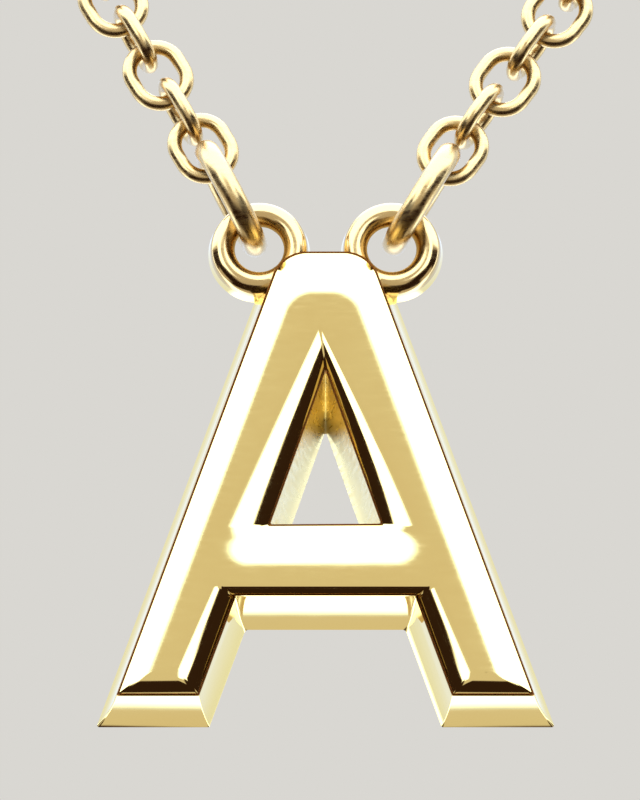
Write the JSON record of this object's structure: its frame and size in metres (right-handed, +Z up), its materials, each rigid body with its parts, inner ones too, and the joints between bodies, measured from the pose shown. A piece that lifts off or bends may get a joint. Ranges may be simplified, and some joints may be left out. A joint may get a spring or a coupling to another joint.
{
  "type": "initial pendant necklace",
  "caption": "Polished capital A pendant with round ears at its top, hung by jump rings in the front of a fine cable chain necklace that closes with a ring clasp at the nape.",
  "frame": {"origin": "at the nape of the neck, in the middle of the clasp's ring, where the worn necklace rests", "axes": "+Z up, front of the worn necklace towards -Y, +X towards the right of the picture"},
  "size_m": [0.1068, 0.1032, 0.1002],
  "materials": {
    "letter_gold": "mirror-polished yellow gold",
    "ring_gold": "polished yellow gold wire",
    "chain_gold": "polished yellow gold wire",
    "clasp_gold": "polished yellow gold"
  },
  "bodies": {
    "necklace": {"jump_ring_left": "ring_gold", "jump_ring_right": "ring_gold", "link_left_1": "chain_gold", "link_left_2": "chain_gold", "link_left_3": "chain_gold", "link_left_4": "chain_gold", "link_left_5": "chain_gold", "link_left_6": "chain_gold", "link_left_7": "chain_gold", "link_left_8": "chain_gold", "link_right_1": "chain_gold", "link_right_2": "chain_gold", "link_right_3": "chain_gold", "link_right_4": "chain_gold", "link_right_5": "chain_gold", "link_right_6": "chain_gold", "link_right_7": "chain_gold", "link_right_8": "chain_gold", "chain_left": "chain_gold", "chain_right": "chain_gold", "clasp": "clasp_gold", "end_ring": "ring_gold"},
    "pendant": {"letter": "letter_gold"}
  },
  "joints": [
    {"name": "pendant_swing", "type": "hinge", "parent": "necklace", "child": "pendant", "pos_m": [0, -0.1, -0.084], "axis": [1, 0, 0], "range_deg": [-45, 60]}
  ]
}
